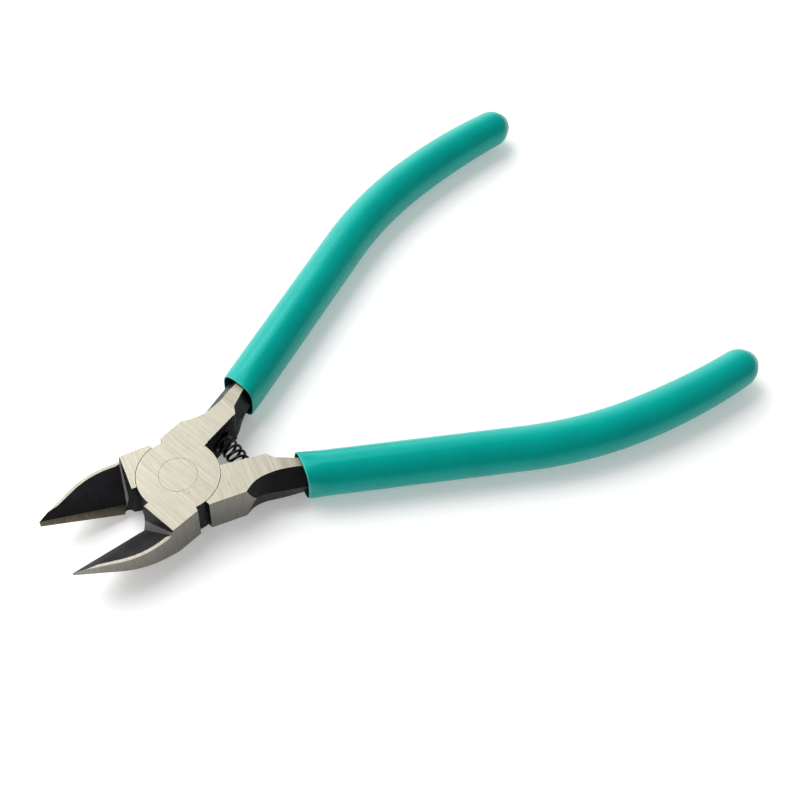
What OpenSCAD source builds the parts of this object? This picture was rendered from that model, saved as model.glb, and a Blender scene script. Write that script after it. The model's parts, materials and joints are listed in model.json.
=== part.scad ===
// Flush cut pliers: two lap-jointed forgings on one rivet, a coil return spring and two dipped grips.
// Origin on the pivot axis at the flat underside. +Z up, +X towards the handles, jaws towards -X.
// Each half is drawn with the jaws closed, then turned by half of the rest opening.

/* [Pivot] */
// Radius of the round lap-joint cheeks
pivot_r = 7.3; // [6.8:0.1:7.8]
// Thickness of the head
head_t = 8.2; // [7.8:0.1:8.8]
// Visible radius of the peened rivet
rivet_r = 3.4; // [3.0:0.1:3.8]
// Radius of the rivet's shank
shank_r = 2.5; // [2.2:0.1:2.7]
// Seam between a round cheek and the other half
seam = 0.12; // [0.08:0.01:0.2]
// Angle between the jaws at rest
opening = 25.4; // [20:0.2:32]

/* [Jaws] */
// Distance from the pivot to the jaw tips
jaw_l = 24.6; // [23:0.1:26]
// Half width of the closed head
head_w = 7.65; // [7.5:0.05:7.9]
// Distance from the pivot to the jaw shoulders
shoulder = 8.25; // [8.1:0.05:8.6]
// Depth of the rim land below the top face, beside the shoulder
land_d = 1.46; // [1.3:0.02:1.6]
// Slope of the flush ground face
flush_a = 20.6; // [19:0.1:22]

/* [Handles] */
// Distance from the pivot to the mouth of each grip
mouth_x = 20.6; // [20.3:0.1:20.8]
// Radius of a grip
grip_r = 4.17; // [3.9:0.01:4.17]
// Length of the straight stretch of a handle
straight_l = 40.8; // [36:0.2:44]
// Length of the tight bend
bend_l = 22; // [18:0.5:26]
// Length of the easy bend that ends the handle
tail_l = 28.4; // [24:0.2:32]

/* [Spring] */
// Mean radius of the coils
coil_r = 1.6; // [1.4:0.05:1.7]
// Thickness of the spring wire
wire_d = 0.52; // [0.4:0.02:0.6]
// Number of turns
turns = 7; // [6:0.5:8]

/* [Hidden] */
$fn = 96;
big = 60;
half_open = opening / 2;

// Lap joint
lap_gap = 0.04;
lap_z = head_t / 2;
rivet_fit = 0.02;
rivet_run = 0.05;
sink_d = 1.2;

// Jaws, in the closed position
edge_gap = 0.03;
relief_w = 0.3;
relief_x = 10.1;
notch_x = 9.45;
notch_r = 0.85;
wall_lean = 13;
flush_x = 7.75;
bevel_a = 58;
land_x = 11.7;
land_rise = 3.4;
facet_heading = 24.3;
facet_x = 10.2;
facet_y = 6.95;
facet_d = 1.1;
facet_a = 39.7;
rim_w = 0.55;
hollow_a = 25;
jaw_slot_a = 19.6;
neck_slot_a = 21.7;

// Ogive of the jaw's outer wall: a tangent arc between two straight stretches
ogive_x = 10.9;
ogive_y = 7.12;
ogive_r = 16.2;
ogive_a0 = 5;
ogive_a1 = 31.5;

// Neck: block behind the cheeks, with a hump on its inner face that is serrated on the upper half
block_x = 8;
block_in_y = 5.2;
neck_in_x = 6.6;
neck_in_y = 0.86;
neck_in_a = 5;
hump_x = 15.7;
hump_end_x = 16.7;
hump_end_y = 2.9;
serration = 0.39;
serration_d = 0.15;
serration_x0 = 8.2;
serration_n = 18;

// Forged neck sections: x, top inner, top outer of the lower and of the upper half, ridge outer,
// bottom outer, bottom inner, ridge inner, top z
ridge_z = 4.7;
ground_x = 12.6;
neck_sections = [
    [ 7.6, 2.3, 8.9, 7.85, 9.9, 8.4, 2.3, 2.3, 8.4],
    [ 8.6, 2.3, 8.3, 7.15, 9.3, 7.9, 2.3, 2.3, 8.4],
    [ 9.7, 2.3, 7.68, 6.5, 8.8, 7.5, 2.3, 2.3, 8.4],
    [10.8, 2.3, 6.8, 6.05, 8.0, 6.8, 2.3, 2.3, 8.4],
    [12.2, 2.4, 6.0, 5.65, 7.5, 6.35, 2.4, 2.4, 8.4],
    [13.8, 2.5, 5.6, 5.5, 7.55, 6.25, 2.2, 2.0, 8.4],
    [15.5, 2.6, 5.55, 5.55, 7.85, 6.5, 2.0, 1.75, 8.28],
    [16.8, 3.0, 5.65, 5.75, 8.1, 6.7, 2.35, 1.8, 8.2],
    [18.4, 3.6, 5.85, 6.1, 8.4, 6.9, 3.3, 2.0, 8.11],
    [20.4, 4.4, 6.2, 6.3, 8.8, 7.1, 4.8, 2.7, 7.97],
    [22.6, 5.1, 6.9, 6.9, 9.7, 7.6, 5.2, 3.3, 7.4]
];

// Handle centre line
handle_y = 6;
handle_z = head_t / 2 + 0.08;
handle_a = 13.95;
bend_r = 80;
tail_r = 126;
handle_l = straight_l + bend_l + tail_l;
square_l = 6;
flare_l = 5;
mouth_narrow = 0.14;
mouth_square = 1.2;

// Tang and sleeve
tang_r = 3.05;
tang_l = 74;
fit = 0.05;
sleeve_bore = 3.93;
sleeve_bore_l = 3.4;
sides = 24;

// Sleeve: a thin lip, a slight swell, a long even grip, a taper and a domed end with a blunt nub
mouth_l = 12;
mouth_taper = 0.005;
tail_taper_l = 31;
tail_taper = 0.13;
dome_l = 3;
dome_a = 50;
nub_l = 1.4;
lip = 0.12;

// Spring, curved around the pivot
spring_r = 11.5;
seat_d = 0.8;
seat_r = 2.15;
spring_in_a = 6.4;
spring_a = half_open + spring_in_a + 2;

function polar(r, a) = [r * cos(a), r * sin(a)];

// Point of the ogive where its tangent has dropped to angle a
function ogive(a) = [
    -ogive_x - ogive_r * (sin(a) - sin(ogive_a0)),
    ogive_y - ogive_r * (cos(ogive_a0) - cos(a))
];

// Smooth curve through vectors a, b, c, d, between b and c
function smooth(a, b, c, d, t) =
    0.5 * (2 * b + (c - a) * t + (2 * a - 5 * b + 4 * c - d) * t * t
        + (3 * b - 3 * c + d - a) * t * t * t);
function smoothed(rows, n) = [
    for (i = [0 : len(rows) - 2], k = [0 : n - 1])
        smooth(rows[max(i - 1, 0)], rows[i], rows[i + 1], rows[min(i + 2, len(rows) - 1)], k / n),
    rows[len(rows) - 1]
];

// Closed skin over rings that all have n points, clockwise as seen from the last ring
function ring_faces(rings, n) = concat(
    [[for (k = [n - 1 : -1 : 0]) k]],
    [for (i = [0 : rings - 2], k = [0 : n - 1], f = [
        [i * n + k, (i + 1) * n + (k + 1) % n, (i + 1) * n + k],
        [i * n + k, i * n + (k + 1) % n, (i + 1) * n + (k + 1) % n]
    ]) f],
    [[for (k = [0 : n - 1]) (rings - 1) * n + k]]
);
module skin(rings) {
    n = len(rings[0]);
    points = [for (ring = rings, p = ring) p];
    polyhedron(points = points, faces = ring_faces(len(rings), n), convexity = 6);
}

// Handle centre line at distance s from the mouth: [x, y, heading]
function straight_end(s) =
    [mouth_x + s * cos(handle_a), handle_y + s * sin(handle_a), handle_a];
function bent(start, r, s) =
    let (a = start[2] - s / r * 180 / PI)
    [start[0] + r * (sin(start[2]) - sin(a)), start[1] + r * (cos(a) - cos(start[2])), a];
function handle(s) =
    s <= straight_l ? straight_end(s) :
    s <= straight_l + bend_l ? bent(straight_end(straight_l), bend_r, s - straight_l) :
    bent(bent(straight_end(straight_l), bend_r, bend_l), tail_r, s - straight_l - bend_l);

// Ring of radius r around the centre line. It is square to the head at the mouth and square to the
// handle from square_l on. Over flare_l from the mouth it turns from a narrow rounded square, which
// hugs the forging, into a circle.
function handle_ring(s, r) =
    let (
        c = handle(s),
        t = c[2] * min(max(s / square_l, 0), 1),
        flare = pow(max(1 - s / flare_l, 0), 2),
        w = (1 - mouth_narrow * flare) / cos(c[2] - t),
        n = 2 + mouth_square * flare
    )
    [for (k = [0 : sides - 1])
        let (
            a = k * 360 / sides,
            q = polar(r / pow(pow(abs(cos(a)), n) + pow(abs(sin(a)), n), 1 / n), a)
        )
        [c[0] - q[0] * w * sin(t), -(c[1] + q[0] * w * cos(t)), handle_z + q[1]]];

// Evenly spaced distances along the handle
function steps(s0, s1, n) = [for (i = [0 : n]) s0 + (s1 - s0) * i / n];

// Radius of the sleeve at distance s from its mouth
function grip_body(s) =
    grip_r * (1 - mouth_taper * pow(max(1 - s / mouth_l, 0), 2))
        * (1 - tail_taper * pow(max(s - handle_l + tail_taper_l, 0) / tail_taper_l, 2));
function grip_profile() = concat(
    [[0, grip_body(0) - lip], [0.1, grip_body(0) - 0.05], [lip, grip_body(0)]],
    [for (s = steps(3, handle_l - nub_l - dome_l, 30)) [s, grip_body(s)]],
    [for (a = [10 : 10 : dome_a]) [handle_l - nub_l - dome_l * (1 - sin(a) / sin(dome_a)), dome_r(a)]],
    [for (a = [5 : 25 : 80]) [handle_l - nub_l * (1 - sin(a)), 0.93 * dome_r(dome_a) * pow(cos(a), 1.2)]],
    [[handle_l, 0.22]]
);
function dome_r(a) = grip_body(handle_l - nub_l - dome_l) * pow(cos(a), 0.8);
function bore_profile() = concat(
    [[-1, sleeve_bore], [sleeve_bore_l - 0.4, sleeve_bore]],
    [for (s = steps(sleeve_bore_l, tang_l, 24)) [s, tang_r + fit]],
    [[tang_l + 0.6, tang_r + fit]]
);

// Outline of the jaw, y > 0, with the rear edge running out along a radius
module jaw_outline() {
    polygon(concat(
        [[0, 0], [-head_w * tan(jaw_slot_a), head_w]],
        [[-shoulder, ogive_y + (ogive_x - shoulder) * tan(ogive_a0)]],
        [for (i = [0 : 12]) ogive(ogive_a0 + (ogive_a1 - ogive_a0) * i / 12)],
        [[-jaw_l, 0.5], [-jaw_l, edge_gap]],
        [[-relief_x, edge_gap], [-relief_x, relief_w], [-pivot_r / 2, relief_w]]
    ));
}

// Dish that hollows the facet out beside the rim land: around the centre of the ogive, then straight on
// to the tip
module rim_hollow() {
    r = ogive_r - rim_w;
    translate([land_x - ogive_x + ogive_r * sin(ogive_a0), ogive_y - ogive_r * cos(ogive_a0), 0]) {
        rotate_extrude()
            polygon([[0, -r * tan(hollow_a)], [r, 0], [r, big], [0, big]]);
        rotate([0, 0, ogive_a1])
            translate([0, r, 0])
                rotate([hollow_a, 0, 0])
                    translate([-big, -big / 2, 0]) cube([big, big, big]);
    }
}

// Everything above the land, the hollow facet and the bevel, up to the leaning shoulder wall
module jaw_grinding() {
    intersection() {
        union() {
            translate([-land_x, 0, head_t - land_d])
                rotate([0, land_rise, 0]) {
                    translate([-big / 2, -big / 2, 0]) cube([big, big, big]);
                    rim_hollow();
                }
            translate([-facet_x, facet_y, head_t - facet_d])
                rotate([facet_a, 0, facet_heading])
                    translate([-big / 2, -big / 2, 0]) cube([big, big, big]);
            translate([-flush_x, edge_gap, 0])
                rotate([0, flush_a, 0])
                    rotate([bevel_a, 0, 0])
                        translate([-big, -big / 2, 0]) cube([2 * big, big, big]);
        }
        translate([-shoulder, 0, head_t])
            rotate([0, wall_lean, 0])
                translate([-big, -big / 2, -big / 2]) cube([big, big, big]);
    }
}

// Everything under the flush face that the two cutting edges share
module flush_grinding() {
    translate([-flush_x, 0, 0])
        rotate([0, flush_a, 0])
            translate([-big, -big / 2, -big]) cube([1.5 * big, big, big]);
}

// Inner face line of the neck, at y > 0
function neck_in(x) = neck_in_y + (x - neck_in_x) * tan(neck_in_a);

// Full-thickness block of the neck
module neck_outline(serrated) {
    polygon(concat(
        [[0, 0], [head_w * tan(neck_slot_a), head_w], [block_x, head_w], [block_x, block_in_y]],
        [[hump_end_x, block_in_y], [hump_end_x, hump_end_y], [hump_x, neck_in(hump_x)]],
        [for (i = serrated ? [2 * serration_n : -1 : 0] : [])
            let (x = serration_x0 + i * serration / 2)
            [x, neck_in(x) + (i % 2) * serration_d]],
        [[neck_in_x, neck_in_y]]
    ));
}

// Forged bar between the block and the grip, ground flat on both faces and beside the block
module neck_forging(outer) {
    intersection() {
        skin([for (s = smoothed(neck_sections, 4)) [
            [s[0], -s[1], s[8]],
            [s[0], -s[7], ridge_z],
            [s[0], -s[6], head_t - s[8]],
            [s[0], -s[5], head_t - s[8]],
            [s[0], -s[4], ridge_z],
            [s[0], -s[outer], s[8]]
        ]]);
        union() {
            translate([0, -head_w, 0]) cube([ground_x, head_w, head_t]);
            translate([ground_x - 1, -big, 0]) cube([big, big, head_t]);
        }
    }
}

// Tang inside the grip, a round bar along the handle with a rounded end
module tang() {
    skin(concat(
        [for (s = steps(1.5, tang_l - 1, 26)) handle_ring(s, tang_r)],
        [handle_ring(tang_l - 0.3, tang_r * 0.85)],
        [handle_ring(tang_l, tang_r * 0.5)]
    ));
}

// Blind hole in the neck's inner face that holds one end of the spring
module spring_seat() {
    translate([spring_r * cos(spring_in_a), -spring_r * sin(spring_in_a), lap_z])
        rotate([90, 0, -neck_in_a])
            translate([0, 0, -big])
                cylinder(r = seat_r, h = big + seat_d);
}

// Hole and countersink for the rivet, open at the half's own outer face
module rivet_hole(lower) {
    gap = lower ? rivet_run : rivet_fit;
    sink = sink_d + 2 * gap;
    translate([0, 0, -1]) cylinder(r = shank_r + gap, h = head_t + 2);
    translate([0, 0, lower ? 0 : head_t])
        mirror([0, 0, lower ? 0 : 1])
            rotate_extrude()
                polygon([
                    [0, -1], [rivet_r + gap, -1], [rivet_r + gap, 0],
                    [shank_r + gap, sink], [0, sink]
                ]);
}

// One half in the closed position, with its jaw at y > 0 and its handle at y < 0
module forging(lower) {
    cheek_z = lower ? 0 : lap_z + lap_gap / 2;
    pocket_z = lower ? lap_z - lap_gap / 2 : -1;
    difference() {
        union() {
            difference() {
                union() {
                    linear_extrude(head_t) jaw_outline();
                    mirror([0, 1, 0]) linear_extrude(head_t) neck_outline(!lower);
                    neck_forging(lower ? 2 : 3);
                }
                translate([0, 0, pocket_z]) cylinder(r = pivot_r + seam, h = lap_z + lap_gap / 2 + 1);
            }
            translate([0, 0, cheek_z]) cylinder(r = pivot_r, h = lap_z - lap_gap / 2);
            tang();
        }
        translate([-notch_x, 0, -1]) cylinder(r = notch_r, h = head_t + 2);
        jaw_grinding();
        flush_grinding();
        spring_seat();
        rivet_hole(lower);
    }
}

module lower_half() {
    color([0.82, 0.8, 0.74]) rotate([0, 0, -half_open]) forging(true);
}

module upper_half() {
    color([0.86, 0.84, 0.78]) rotate([0, 0, half_open]) mirror([0, 1, 0]) forging(false);
}

// Peened at both ends into the countersinks of the two cheeks
module pivot_rivet() {
    color([0.84, 0.82, 0.76])
        rotate_extrude()
            polygon([
                [0, 0], [rivet_r, 0], [shank_r, sink_d],
                [shank_r, head_t - sink_d], [rivet_r, head_t], [0, head_t]
            ]);
}

// Wire ring at turn angle a of the coil, whose axis curves around the pivot
function wire_ring(a) =
    let (p = -spring_a + 2 * spring_a * a / (360 * turns))
    [for (k = [0 : 5])
        let (
            q = polar(wire_d / 2, k * 60),
            r = spring_r + (coil_r + q[0]) * cos(a),
            t = p + q[1] / r * 180 / PI
        )
        [r * cos(t), r * sin(t), lap_z + (coil_r + q[0]) * sin(a)]];
module return_spring() {
    color([0.08, 0.08, 0.09])
        skin([for (a = [0 : 20 : 360 * turns]) wire_ring(a)]);
}

// Sleeve with a closed end and a bore for the tang
module grip() {
    difference() {
        skin([for (p = grip_profile()) handle_ring(p[0], p[1])]);
        skin([for (p = bore_profile()) handle_ring(p[0], p[1])]);
    }
}

module lower_grip() {
    color([0, 0.66, 0.6]) rotate([0, 0, -half_open]) grip();
}

module upper_grip() {
    color([0, 0.66, 0.6]) rotate([0, 0, half_open]) mirror([0, 1, 0]) grip();
}

lower_half();
upper_half();
pivot_rivet();
return_spring();
lower_grip();
upper_grip();
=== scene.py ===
"""Looks of the flush cut pliers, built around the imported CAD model. Every length is in metres.

Each half is described in its closed position: its jaw at y > 0 and its handle at y < 0, as in the CAD
source. side is -1 for the lower half and 1 for the upper half.
"""
import json
import math

import bmesh
import bpy
from mathutils import Matrix, Vector


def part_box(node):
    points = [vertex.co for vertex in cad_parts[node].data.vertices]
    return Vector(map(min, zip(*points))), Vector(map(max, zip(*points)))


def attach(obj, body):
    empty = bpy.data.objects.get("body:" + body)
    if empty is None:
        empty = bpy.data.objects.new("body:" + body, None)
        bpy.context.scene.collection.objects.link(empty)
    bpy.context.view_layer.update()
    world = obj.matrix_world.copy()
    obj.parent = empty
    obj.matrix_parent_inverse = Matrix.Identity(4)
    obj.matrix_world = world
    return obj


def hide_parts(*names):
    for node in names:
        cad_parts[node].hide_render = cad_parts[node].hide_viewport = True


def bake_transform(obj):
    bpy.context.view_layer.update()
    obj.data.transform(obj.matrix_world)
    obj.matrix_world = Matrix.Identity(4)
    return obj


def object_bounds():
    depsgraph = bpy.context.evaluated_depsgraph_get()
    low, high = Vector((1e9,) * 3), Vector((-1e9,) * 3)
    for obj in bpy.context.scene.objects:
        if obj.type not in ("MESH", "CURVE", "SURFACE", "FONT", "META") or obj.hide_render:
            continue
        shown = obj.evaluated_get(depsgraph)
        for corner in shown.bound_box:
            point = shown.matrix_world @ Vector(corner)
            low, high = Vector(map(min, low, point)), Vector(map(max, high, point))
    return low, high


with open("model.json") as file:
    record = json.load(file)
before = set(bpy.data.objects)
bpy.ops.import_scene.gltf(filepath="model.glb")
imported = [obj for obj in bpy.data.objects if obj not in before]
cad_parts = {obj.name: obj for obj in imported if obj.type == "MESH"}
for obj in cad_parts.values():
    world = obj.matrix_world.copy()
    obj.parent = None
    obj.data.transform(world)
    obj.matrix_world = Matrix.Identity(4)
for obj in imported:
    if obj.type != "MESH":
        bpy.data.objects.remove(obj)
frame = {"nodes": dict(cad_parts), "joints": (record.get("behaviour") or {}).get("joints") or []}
cad_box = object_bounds()

MM = 0.001
HEAD_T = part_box("pivot_rivet")[1].z
LAP_Z = HEAD_T / 2
HALF_OPEN = math.radians(-frame["joints"][0]["range_deg"][0]) / 2
RIVET_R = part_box("pivot_rivet")[1].x
PIVOT_R = 7.3 * MM
SHOULDER_X = -8.25 * MM
HEAD_W = 7.65 * MM

# Height of the jaw's facet at y = 0, and its rise per metre of y
FACET_FOOT = 1.43 * MM
FACET_RISE = 0.757

# Handle centre line, as in the CAD source
MOUTH_X = 20.62 * MM
HANDLE_Y = 6 * MM
HANDLE_Z = 4.18 * MM
HANDLE_A = math.radians(13.95)
STRAIGHT_L = 40.8 * MM
BEND_L = 22 * MM
TAIL_L = 28.4 * MM
BEND_R = 80 * MM
TAIL_R = 126 * MM
HANDLE_L = STRAIGHT_L + BEND_L + TAIL_L

# Grip: narrowed at its mouth, where the vinyl hugs the forging, and closed by a dome with a nub
FLARE_L = 5 * MM
MOUTH_NARROW = 0.13
MOUTH_SQUARE = 1.2
GRIP_R = 4.16 * MM
BORE_R = 3.9 * MM
SQUARE_L = 6 * MM
MOUTH_TAPER_L = 12 * MM
MOUTH_TAPER = 0.005
TAIL_TAPER_L = 31 * MM
TAIL_TAPER = 0.13
DOME_L = 3 * MM
DOME_A = math.radians(50)
NUB_L = 1.4 * MM
LIP_L = 0.6 * MM
LIP_BOW = 0.15 * MM
LIP_BOW_L = 4 * MM
LIP_BOW_A = math.radians(105)
GRIP_SIDES = 72

# Spring, curved around the pivot
SPRING_R = 11.5 * MM
COIL_R = 1.6 * MM
WIRE_R = 0.26 * MM
SPRING_A = HALF_OPEN + math.radians(8.4)
SPRING_TURNS = 7


# ---------------------------------------------------------------- places

def to_closed(side):
    """Matrix from the rest pose to the closed position of one half."""
    turn = Matrix.Rotation(-side * HALF_OPEN, 4, "Z")
    flip = Matrix.Diagonal((1, -side, 1, 1))
    return flip @ turn


def to_rest(side):
    return to_closed(side).inverted()


def straight_end(s):
    return (MOUTH_X + s * math.cos(HANDLE_A), HANDLE_Y + s * math.sin(HANDLE_A), HANDLE_A)


def bent(start, radius, s):
    a = start[2] - s / radius
    x = start[0] + radius * (math.sin(start[2]) - math.sin(a))
    y = start[1] + radius * (math.cos(a) - math.cos(start[2]))
    return (x, y, a)


def handle(s):
    """Handle centre line at distance s from the mouth: x, y, heading."""
    if s <= STRAIGHT_L:
        return straight_end(s)
    corner = straight_end(STRAIGHT_L)
    if s <= STRAIGHT_L + BEND_L:
        return bent(corner, BEND_R, s - STRAIGHT_L)
    return bent(bent(corner, BEND_R, BEND_L), TAIL_R, s - STRAIGHT_L - BEND_L)


def handle_point(s, radius, a, push=0.0):
    """Point of the ring at s, at angle a around it: 0 is outwards and 90 degrees is up."""
    x, y, heading = handle(s)
    tilt = heading * min(max(s / SQUARE_L, 0), 1)
    flare = max(1 - s / FLARE_L, 0) ** 2
    power = 2 + MOUTH_SQUARE * flare
    radius /= (abs(math.cos(a)) ** power + abs(math.sin(a)) ** power) ** (1 / power)
    across = radius * math.cos(a) * (1 - MOUTH_NARROW * flare) / math.cos(heading - tilt)
    return Vector((
        x + push - across * math.sin(tilt),
        -(y + across * math.cos(tilt)),
        HANDLE_Z + radius * math.sin(a),
    ))


# ---------------------------------------------------------------- materials

class Shader:
    """A material, with its nodes added one call at a time."""

    def __init__(self, name, **uniform):
        self.material = bpy.data.materials.new(name)
        self.material.use_nodes = True
        self.tree = self.material.node_tree
        self.surface = self.tree.nodes["Principled BSDF"]
        for key, value in uniform.items():
            self.surface.inputs[key.replace("_", " ")].default_value = value

    def add(self, kind, inputs, **settings):
        node = self.tree.nodes.new(kind)
        for key, value in settings.items():
            setattr(node, key, value)
        for key, value in inputs.items():
            if isinstance(value, bpy.types.NodeSocket):
                self.tree.links.new(value, node.inputs[key])
            else:
                node.inputs[key].default_value = value
        return node

    def place(self, scale, turn=0.0):
        """Object coordinates turned about Z, then stretched."""
        here = self.add("ShaderNodeTexCoord", {}).outputs["Object"]
        turned = self.add("ShaderNodeMapping", {"Vector": here, "Rotation": (0, 0, turn)})
        stretched = self.add("ShaderNodeMapping", {"Vector": turned.outputs[0], "Scale": scale})
        return stretched.outputs[0]

    def grain(self, scale, turn=0.0, detail=2.0, low=0.35, high=0.65):
        """Noise with features of 1 / scale metres, spread over 0 to 1."""
        noise = self.add("ShaderNodeTexNoise", {
            "Vector": self.place(scale, turn), "Scale": 1.0, "Detail": detail, "Roughness": 0.6,
        })
        return self.spread(noise.outputs["Fac"], low, high)

    def spread(self, value, low, high, out_low=0.0, out_high=1.0):
        node = self.add("ShaderNodeMapRange", {
            "Value": value, "From Min": low, "From Max": high, "To Min": out_low, "To Max": out_high,
        })
        return node.outputs[0]

    def math(self, operation, a, b=0.0):
        node = self.add("ShaderNodeMath", {}, operation=operation)
        for socket, value in zip(node.inputs, (a, b)):
            if isinstance(value, bpy.types.NodeSocket):
                self.tree.links.new(value, socket)
            else:
                socket.default_value = value
        return node.outputs[0]

    def mix(self, factor, a, b):
        node = self.add("ShaderNodeMix", {}, data_type="RGBA")
        for socket, value in ((node.inputs[0], factor), (node.inputs[6], a), (node.inputs[7], b)):
            if isinstance(value, bpy.types.NodeSocket):
                self.tree.links.new(value, socket)
            else:
                socket.default_value = value if socket is node.inputs[0] else (*value, 1)
        return node.outputs[2]

    def edges(self, radius):
        """1 on edges that a bevel of that radius would round, and 0 elsewhere."""
        rounded = self.add("ShaderNodeBevel", {"Radius": radius}, samples=6).outputs[0]
        flat = self.add("ShaderNodeNewGeometry", {}).outputs["Normal"]
        dot = self.add("ShaderNodeVectorMath", {0: rounded, 1: flat}, operation="DOT_PRODUCT")
        return self.spread(dot.outputs["Value"], 0.995, 0.9)

    def bump(self, height, distance, strength=1.0):
        node = self.add("ShaderNodeBump", {
            "Height": height, "Distance": distance, "Strength": strength,
        })
        self.tree.links.new(node.outputs[0], self.surface.inputs["Normal"])

    def set(self, **sockets):
        for key, value in sockets.items():
            self.tree.links.new(value, self.surface.inputs[key.replace("_", " ")])
        return self.material


def ring_mask(shader, radius, width):
    """1 on a thin circle around the pivot axis."""
    here = shader.place((1, 1, 0))
    away = shader.add("ShaderNodeVectorMath", {0: here}, operation="LENGTH").outputs["Value"]
    off = shader.math("ABSOLUTE", shader.math("SUBTRACT", away, radius))
    return shader.spread(off, 0.0, width, 1.0, 0.0)


def ground_face(name, side):
    """Flat faces ground across the closed head, so the grind lines run along the closed Y axis."""
    turn = -side * HALF_OPEN
    s = Shader(name, Metallic=1.0)
    fine = s.grain((6500, 160, 300), turn, 3.0, 0.3, 0.7)
    broad = s.grain((2500, 90, 120), turn, 2.0, 0.3, 0.7)
    cloud = s.grain((260, 180, 200), turn, 3.0, 0.3, 0.7)
    lines = s.math("ADD", s.math("MULTIPLY", fine, 0.6), s.math("MULTIPLY", broad, 0.4))
    colour = s.mix(lines, (0.205, 0.194, 0.156), (0.39, 0.372, 0.306))
    colour = s.mix(s.math("MULTIPLY", cloud, 0.22), colour, (0.28, 0.267, 0.207))
    specks = s.grain((2600, 2600, 2600), turn, 1.0, 0.66, 0.78)
    colour = s.mix(s.math("MULTIPLY", specks, 0.45), colour, (0.12, 0.11, 0.085))
    broken = s.grain((700, 700, 700), turn, 2.0, 0.38, 0.6)
    seam = s.math("MULTIPLY", ring_mask(s, RIVET_R, 0.09 * MM), broken)
    colour = s.mix(s.math("MULTIPLY", seam, 0.4), colour, (0.09, 0.075, 0.05))
    # Painted highlight: edges that a 0.1 mm rounding would catch are painted a lighter grey
    colour = s.mix(s.math("MULTIPLY", s.edges(0.1 * MM), 0.35), colour, (0.55, 0.53, 0.47))
    s.bump(lines, 0.012 * MM)
    return s.set(Base_Color=colour, Roughness=s.spread(fine, 0, 1, 0.38, 0.52))


def ground_wall(name):
    """Outer walls, ground upright, greyer than the faces."""
    s = Shader(name, Metallic=1.0)
    fine = s.grain((6200, 6200, 260), 0.0, 3.0, 0.3, 0.7)
    broad = s.grain((1900, 1900, 130), 0.0, 2.0, 0.3, 0.7)
    lines = s.math("ADD", s.math("MULTIPLY", fine, 0.65), s.math("MULTIPLY", broad, 0.35))
    colour = s.mix(lines, (0.19, 0.181, 0.156), (0.31, 0.298, 0.262))
    # Painted highlight: edges that a 0.1 mm rounding would catch are painted a lighter grey
    colour = s.mix(s.math("MULTIPLY", s.edges(0.1 * MM), 0.6), colour, (0.5, 0.48, 0.42))
    s.bump(lines, 0.015 * MM)
    return s.set(Base_Color=colour, Roughness=s.spread(fine, 0, 1, 0.36, 0.5))


def black_oxide(name, tone, gloss, skin, wear):
    """Blackened steel. skin is the depth of its forged texture and wear the share of bright edges."""
    s = Shader(name, Specular_IOR_Level=gloss)
    rough = s.grain((1400, 1400, 1400), 0.0, 4.0, 0.25, 0.75)
    cloud = s.grain((300, 300, 300), 0.0, 3.0, 0.3, 0.7)
    fleck = s.grain((3200, 3200, 3200), 0.0, 2.0, 0.66, 0.78)
    light = tuple(3.0 * c for c in tone)
    colour = s.mix(s.math("MULTIPLY", cloud, 0.35), tone, light)
    colour = s.mix(s.math("MULTIPLY", fleck, 0.25), colour, (0.06, 0.06, 0.06))
    patchy = s.grain((900, 900, 900), 0.0, 2.0, 0.4, 0.62)
    worn = s.math("MULTIPLY", s.math("MULTIPLY", s.edges(0.08 * MM), patchy), wear)
    colour = s.mix(worn, colour, (0.34, 0.33, 0.31))
    s.bump(rough, skin)
    return s.set(Base_Color=colour, Roughness=s.spread(rough, 0, 1, 0.36, 0.58))


def shoulder_wall(name, side):
    """Blackened wall behind the jaw, with a painted highlight: the lower part of its height is
    painted grey for the light that a fillet to the facet would catch.
    """
    s = Shader(name, Specular_IOR_Level=0.2)
    rough = s.grain((1400, 1400, 1400), 0.0, 3.0, 0.3, 0.7)
    streak = s.grain((600, 2400, 2400), 0.0, 2.0, 0.3, 0.7)
    here = s.add("ShaderNodeSeparateXYZ", {"Vector": s.place((1, 1, 1), -side * HALF_OPEN)})
    foot = s.math("ADD", s.math("MULTIPLY", here.outputs["Y"], -side * FACET_RISE), FACET_FOOT)
    above = s.math("SUBTRACT", here.outputs["Z"], foot)
    height = s.math("DIVIDE", above, s.math("SUBTRACT", HEAD_T, foot))
    wavy = s.math("ADD", height, s.math("MULTIPLY", rough, 0.06))
    # Painted highlight: the lower part of the wall's height is painted grey, standing for light
    # caught by a fillet
    painted_fillet_highlight = s.spread(wavy, 0.42, 0.52, 1.0, 0.0)
    colour = s.mix(rough, (0.008, 0.008, 0.009), (0.022, 0.022, 0.024))
    # Streaked grey of the painted highlight, made lighter to offset the wall's shade
    colour = s.mix(painted_fillet_highlight, colour, s.mix(streak, (0.17, 0.17, 0.175), (0.28, 0.28, 0.28)))
    s.bump(rough, 0.02 * MM)
    return s.set(Base_Color=colour, Roughness=s.spread(rough, 0, 1, 0.36, 0.55))


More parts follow.
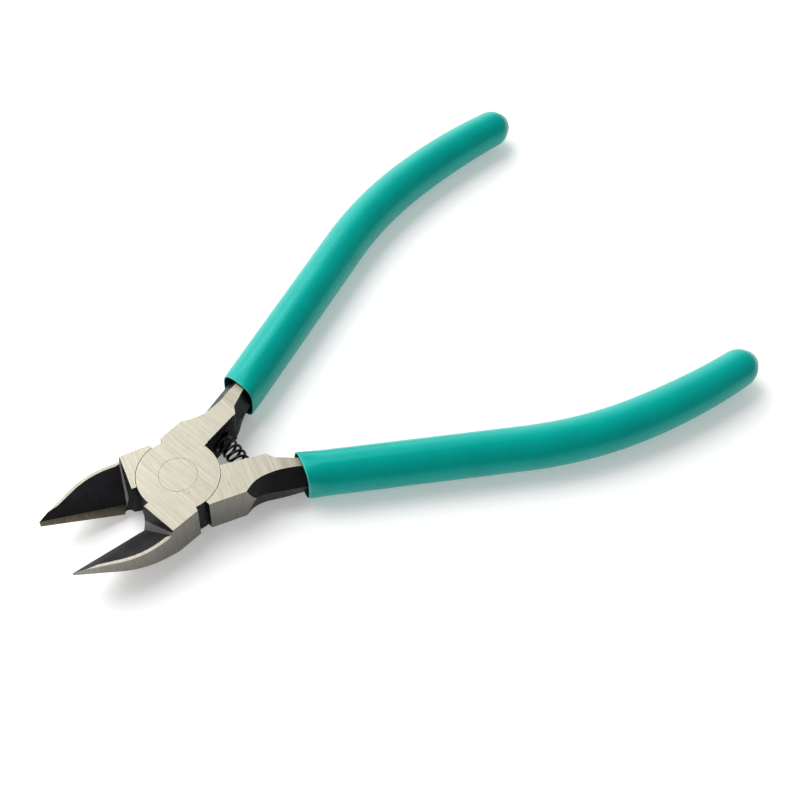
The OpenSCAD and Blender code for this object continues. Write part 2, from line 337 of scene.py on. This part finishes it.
def honed_bevel(name, side):
    """Bevel beside the cutting edge: bare steel with a brown tint, darker towards the root."""
    turn = -side * HALF_OPEN
    s = Shader(name, Metallic=0.8)
    lines = s.grain((4200, 500, 500), turn, 3.0, 0.3, 0.7)
    cloud = s.grain((600, 600, 600), turn, 3.0, 0.35, 0.65)
    along = s.place((1, 1, 1), turn)
    x = s.add("ShaderNodeSeparateXYZ", {"Vector": along}).outputs["X"]
    root = s.spread(x, -21 * MM, -10 * MM)
    colour = s.mix(lines, (0.17, 0.145, 0.095), (0.3, 0.26, 0.175))
    colour = s.mix(s.math("MULTIPLY", root, 0.7), colour, (0.16, 0.148, 0.13))
    colour = s.mix(s.math("MULTIPLY", cloud, 0.35), colour, (0.09, 0.08, 0.065))
    s.bump(lines, 0.012 * MM)
    return s.set(Base_Color=colour, Roughness=s.spread(cloud, 0, 1, 0.34, 0.5))


def dipped_vinyl(name, side):
    """Dip-moulded PVC: glossy and faintly wavy, paler where it is thin, at the lip and at the nub."""
    s = Shader(name, Specular_IOR_Level=0.45, IOR=1.45)
    s.surface.inputs["Specular Tint"].default_value = (0.2, 1.0, 0.96, 1)
    wave = s.grain((55, 55, 55), 0.0, 1.0, 0.3, 0.7)
    peel = s.grain((900, 900, 900), 0.0, 1.0, 0.2, 0.8)
    cloud = s.grain((160, 160, 160), 0.0, 3.0, 0.3, 0.7)
    colour = s.mix(cloud, (0.0, 0.34, 0.29), (0.0, 0.375, 0.32))
    here = s.add("ShaderNodeSeparateXYZ", {"Vector": s.place((1, 1, 1), -side * HALF_OPEN)})
    tip_x, tip_y, heading = handle(HANDLE_L)
    along = s.math(
        "ADD",
        s.math("MULTIPLY", here.outputs["X"], math.cos(heading)),
        s.math("MULTIPLY", here.outputs["Y"], side * math.sin(heading)),
    )
    to_tip = s.math("SUBTRACT", tip_x * math.cos(heading) + tip_y * math.sin(heading), along)
    nub = s.spread(to_tip, NUB_L * 0.8, NUB_L * 1.15, 0.6, 0.0)
    lip = s.spread(here.outputs["X"], MOUTH_X + 0.12 * MM, MOUTH_X + 0.4 * MM, 0.6, 0.0)
    colour = s.mix(s.math("MAXIMUM", nub, lip), colour, (0.13, 0.5, 0.43))
    height = s.math("ADD", s.math("MULTIPLY", wave, 6.0), s.math("MULTIPLY", peel, 0.15))
    s.bump(height, 0.01 * MM)
    return s.set(Base_Color=colour, Roughness=s.spread(peel, 0, 1, 0.22, 0.28))


def spring_steel(name):
    """Oil-blackened music wire with faint drawing lines."""
    s = Shader(name, Metallic=0.9)
    lines = s.grain((2500, 2500, 2500), 0.0, 3.0, 0.3, 0.7)
    colour = s.mix(lines, (0.012, 0.012, 0.013), (0.035, 0.034, 0.033))
    s.bump(lines, 0.006 * MM)
    return s.set(Base_Color=colour, Roughness=s.spread(lines, 0, 1, 0.28, 0.42))


def floor_paper(name):
    s = Shader(name, Roughness=0.9)
    fibre = s.grain((500, 500, 500), 0.0, 3.0, 0.3, 0.7)
    colour = s.mix(fibre, (0.9, 0.9, 0.9), (0.925, 0.925, 0.925))
    s.surface.inputs["Emission Color"].default_value = (1.0, 1.0, 1.0, 1)
    s.surface.inputs["Emission Strength"].default_value = FLOOR_GLOW
    s.bump(fibre, 0.01 * MM)
    return s.set(Base_Color=colour)


# ---------------------------------------------------------------- pieces

def new_piece(name, bm, materials, body, nodes, side=None):
    """Object made from bm, which is in the closed position when side is given."""
    if side is not None:
        bmesh.ops.transform(bm, matrix=to_rest(side), verts=bm.verts)
    bmesh.ops.recalc_face_normals(bm, faces=bm.faces)
    mesh = bpy.data.meshes.new(name)
    bm.to_mesh(mesh)
    bm.free()
    piece = bpy.data.objects.new(name, mesh)
    bpy.context.scene.collection.objects.link(piece)
    for material in materials:
        mesh.materials.append(material)
    if body:
        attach(piece, body)
    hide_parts(*nodes)
    return piece


def finish_of(centre, normal):
    """Index of a forging face's finish, from its centre and normal in the closed position."""
    x, y, z = centre
    in_jaw = x < SHOULDER_X - 0.3 * MM and y > 0
    neck_strip = x > PIVOT_R and y < 0 and z > HEAD_T - 1.2 * MM and normal.z > 0.9
    jaw_underside = x < SHOULDER_X + 1 * MM and normal.z < -0.85
    if abs(normal.z) > 0.97 or neck_strip or jaw_underside:
        return FACE
    if in_jaw and normal.y < -0.75 and 0.3 < normal.z < 0.65:
        return BEVEL
    upright = abs(normal.z) < 0.05
    jaw_side = y > 0 and x < 0 and centre.xy.length > PIVOT_R
    if upright and jaw_side and normal.y > 0.35 and normal.x < 0.3:
        return WALL
    if upright and y < -HEAD_W + 0.05 * MM and normal.y < -0.9:
        return WALL
    if x < -PIVOT_R and y > 0 and abs(normal.y) < 0.05 and normal.x < -0.9:
        return SHOULDER
    if in_jaw:
        return FACET
    return OXIDE


FACE, WALL, OXIDE, BEVEL, FACET, SHOULDER = range(6)


def forging(name, node, body, side, materials):
    """The CAD half with its seams welded, its soft edges smoothed and each face given its finish."""
    bm = bmesh.new()
    bm.from_mesh(frame["nodes"][node].data)
    bmesh.ops.transform(bm, matrix=to_closed(side), verts=bm.verts)
    bmesh.ops.remove_doubles(bm, verts=bm.verts, dist=0.002 * MM)
    bmesh.ops.recalc_face_normals(bm, faces=bm.faces)
    for face in bm.faces:
        face.material_index = finish_of(face.calc_center_median(), face.normal)
        face.smooth = True
    for edge in bm.edges:
        edge.smooth = edge.is_manifold and edge.calc_face_angle(0) < math.radians(24)
    return new_piece(name, bm, materials, body, [node], side)


def swept(rings, closed_ends=(True, True)):
    """Skin over rings of points that all have the same number of points."""
    bm = bmesh.new()
    verts = [[bm.verts.new(p) for p in ring] for ring in rings]
    n = len(rings[0])
    for low, high in zip(verts, verts[1:]):
        for k in range(n):
            bm.faces.new((low[k], low[(k + 1) % n], high[(k + 1) % n], high[k]))
    for ring, closed in zip((verts[0], verts[-1]), closed_ends):
        if closed:
            bm.faces.new(ring)
    for face in bm.faces:
        face.smooth = True
    return bm


def grip_radius(s):
    mouth = max(1 - s / MOUTH_TAPER_L, 0)
    tail = max(s - HANDLE_L + TAIL_TAPER_L, 0) / TAIL_TAPER_L
    return GRIP_R * (1 - MOUTH_TAPER * mouth ** 2) * (1 - TAIL_TAPER * tail ** 2)


def grip_profile():
    """Distance and radius along the sleeve, from inside the mouth, over the lip, to the tip."""
    inside = [(3.0 * MM, BORE_R), (1.2 * MM, BORE_R), (0.3 * MM, BORE_R)]
    outer = grip_radius(0)
    mid = (outer + BORE_R) / 2
    half = (outer - BORE_R) / 2
    lip = [
        (half * (1 - math.cos(a)), mid + half * math.sin(a))
        for a in (math.radians(20 * k - 80) for k in range(9))
    ]
    dome_at = HANDLE_L - NUB_L - DOME_L
    stretch = dome_at - LIP_L
    rings = 110
    body = [
        (s, grip_radius(s))
        for s in (LIP_L + stretch * k / rings for k in range(rings + 1))
    ]
    end = grip_radius(dome_at)
    dome = [
        (dome_at + DOME_L * math.sin(a) / math.sin(DOME_A), end * math.cos(a) ** 0.8)
        for a in (DOME_A * k / 10 for k in range(1, 11))
    ]
    nub_at = HANDLE_L - NUB_L
    nub_l = NUB_L - 0.05 * MM
    nub = [
        (nub_at + nub_l * math.sin(a), 0.93 * dome[-1][1] * math.cos(a) ** 1.2)
        for a in (math.radians(6 + 9.5 * k) for k in range(9))
    ]
    return inside + lip + body + dome + nub + [(nub_at + nub_l, 0.1 * MM)]


def grip(name, node, body, side, material):
    def ring(s, radius):
        fade = max(1 - s / LIP_BOW_L, 0)
        points = []
        for k in range(GRIP_SIDES):
            a = 2 * math.pi * k / GRIP_SIDES
            bow = LIP_BOW * fade * max(math.cos(a - LIP_BOW_A), 0) ** 2
            points.append(handle_point(s, radius, a, bow))
        return points

    bm = swept([ring(s, radius) for s, radius in grip_profile()])
    return new_piece(name, bm, [material], body, [node], side)


def rivet(name, material):
    """Peened rivet with a fine chamfer around each head."""
    chamfer = 0.04 * MM
    shank = 2.5 * MM
    sink = 1.2 * MM
    flat = RIVET_R - 1.2 * MM
    profile = [
        (flat, 0), (RIVET_R - chamfer, 0), (RIVET_R, chamfer), (shank, sink),
        (shank, HEAD_T - sink), (RIVET_R, HEAD_T - chamfer), (RIVET_R - chamfer, HEAD_T),
        (flat, HEAD_T),
    ]
    sides = 96
    angles = [2 * math.pi * k / sides for k in range(sides)]
    bm = swept([[Vector((r * math.cos(a), r * math.sin(a), z)) for a in angles] for r, z in profile])
    for face in bm.faces:
        face.smooth = False
    return new_piece(name, bm, [material], "upper", ["pivot_rivet"])


def spring(name, material):
    """Wire coiled around an arc about the pivot."""
    per_turn = 32
    sides = 12
    steps = SPRING_TURNS * per_turn
    rings = []
    for i in range(steps + 1):
        turn = 2 * math.pi * i / per_turn
        along = -SPRING_A + 2 * SPRING_A * i / steps
        ring = []
        for k in range(sides):
            a = 2 * math.pi * k / sides
            out = COIL_R + WIRE_R * math.cos(a)
            r = SPRING_R + out * math.cos(turn)
            t = along + WIRE_R * math.sin(a) / r
            ring.append(Vector((r * math.cos(t), r * math.sin(t), LAP_Z + out * math.sin(turn))))
        rings.append(ring)
    piece = new_piece(name, swept(rings), [material], None, ["return_spring"])
    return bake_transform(piece)


# ---------------------------------------------------------------- stage

CAMERA_AT = Vector((-50.46, -118.25, 218.13)) * MM
CAMERA_RIGHT = Vector((0.80504, -0.59158, 0.04417))
CAMERA_UP = Vector((0.47074, 0.68235, 0.55926))
CAMERA_LENS = 62.84

SOFTBOX_AT = (-0.06, 0.46, 0.64)
SOFTBOX_AIM = (0.04, 0.0, 0.0)
SOFTBOX_SIZE = (0.7, 0.6)
SOFTBOX_WATTS = 5.2

# Light that the backlit floor gives of itself
FLOOR_HALF = 12.0
FLOOR_GLOW = 0.27

# The sky is brighter behind the object than in front of it
SKY_FRONT = 0.3
SKY_BACK = 2.1


def make_camera():
    camera = bpy.data.objects.new("camera", bpy.data.cameras.new("camera"))
    back = CAMERA_RIGHT.cross(CAMERA_UP)
    axes = Matrix((CAMERA_RIGHT, CAMERA_UP, back)).transposed()
    camera.matrix_world = Matrix.Translation(CAMERA_AT) @ axes.to_4x4()
    camera.data.lens = CAMERA_LENS
    camera.data.sensor_width = 36
    camera.data.clip_start = 0.01
    camera.data.clip_end = 10
    bpy.context.scene.collection.objects.link(camera)
    bpy.context.scene.camera = camera


def area_light(name, at, towards, size, power):
    light = bpy.data.lights.new(name, "AREA")
    light.shape = "RECTANGLE"
    light.size, light.size_y = size
    light.energy = power
    lamp = bpy.data.objects.new(name, light)
    lamp.location = at
    lamp.rotation_euler = (Vector(towards) - Vector(at)).to_track_quat("-Z", "Y").to_euler()
    bpy.context.scene.collection.objects.link(lamp)


def make_stage():
    bm = bmesh.new()
    bmesh.ops.create_grid(bm, x_segments=1, y_segments=1, size=FLOOR_HALF)
    mesh = bpy.data.meshes.new("floor")
    bm.to_mesh(mesh)
    bm.free()
    floor = bpy.data.objects.new("floor", mesh)
    floor.location.z = cad_box[0].z
    floor.data.materials.append(floor_paper("floor_paper"))
    bpy.context.scene.collection.objects.link(floor)

    world = bpy.data.worlds.new("studio")
    world.use_nodes = True
    tree = world.node_tree
    sky = tree.nodes["Background"]
    sky.inputs["Color"].default_value = (1.0, 1.0, 1.0, 1)
    direction = tree.nodes.new("ShaderNodeTexCoord")
    parts = tree.nodes.new("ShaderNodeSeparateXYZ")
    slope = tree.nodes.new("ShaderNodeMapRange")
    slope.interpolation_type = "SMOOTHSTEP"
    slope.inputs["From Min"].default_value = 0.25
    slope.inputs["From Max"].default_value = 0.95
    slope.inputs["To Min"].default_value = SKY_FRONT
    slope.inputs["To Max"].default_value = SKY_BACK
    tree.links.new(direction.outputs["Generated"], parts.inputs[0])
    tree.links.new(parts.outputs["Y"], slope.inputs["Value"])
    tree.links.new(slope.outputs[0], sky.inputs["Strength"])
    bpy.context.scene.world = world
    bpy.context.scene.view_settings.view_transform = "Standard"

    area_light("softbox", SOFTBOX_AT, SOFTBOX_AIM, SOFTBOX_SIZE, SOFTBOX_WATTS)


# ---------------------------------------------------------------- build

make_camera()
make_stage()

wall = ground_wall("ground_wall")
oxide = black_oxide("black_oxide", (0.0035, 0.0033, 0.0036), 0.16, 0.03 * MM, 0.5)
facet = black_oxide("black_facet", (0.016, 0.016, 0.018), 0.06, 0.02 * MM, 0.4)

for half, side in (("lower", -1), ("upper", 1)):
    finishes = [
        ground_face(f"ground_face_{half}", side), wall, oxide,
        honed_bevel(f"honed_bevel_{half}", side), facet, shoulder_wall(f"shoulder_{half}", side),
    ]
    forging(f"{half}_forging", f"{half}_half", half, side, finishes)
    grip(f"{half}_sleeve", f"{half}_grip", half, side, dipped_vinyl(f"dipped_vinyl_{half}", side))

rivet("rivet", bpy.data.materials["ground_face_upper"])
spring("coil_spring", spring_steel("spring_steel"))
